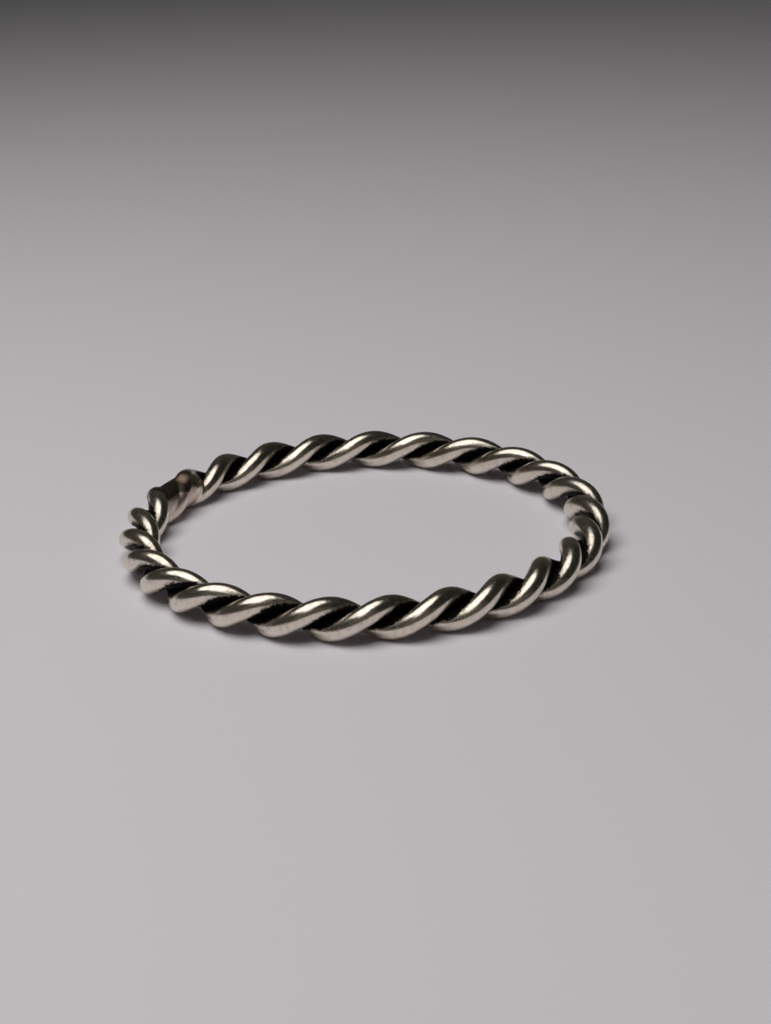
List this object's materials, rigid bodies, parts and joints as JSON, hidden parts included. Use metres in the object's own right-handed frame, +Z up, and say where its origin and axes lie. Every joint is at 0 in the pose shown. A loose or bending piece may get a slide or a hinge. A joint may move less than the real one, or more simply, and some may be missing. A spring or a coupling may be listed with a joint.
{
  "type": "rope twist ring",
  "caption": "Finger ring of two round silver wires twisted into a rope and soldered end to end, with blackened grooves and polished crests.",
  "frame": {"origin": "middle of the finger hole, on the surface that the ring lies on", "axes": "+Z up through the finger hole; the solder joint is at the back left, 152 degrees round from +X towards +Y"},
  "size_m": [0.0221, 0.0221, 0.0018],
  "materials": {
    "silver_wire": "polished silver with blackened grooves, fine scratches and pits",
    "fired_silver": "dull silver and solder with brown and black fire stain"
  },
  "bodies": {
    "root": {"strand_a": "silver_wire", "strand_b": "silver_wire", "solder_joint": "fired_silver"}
  },
  "joints": []
}
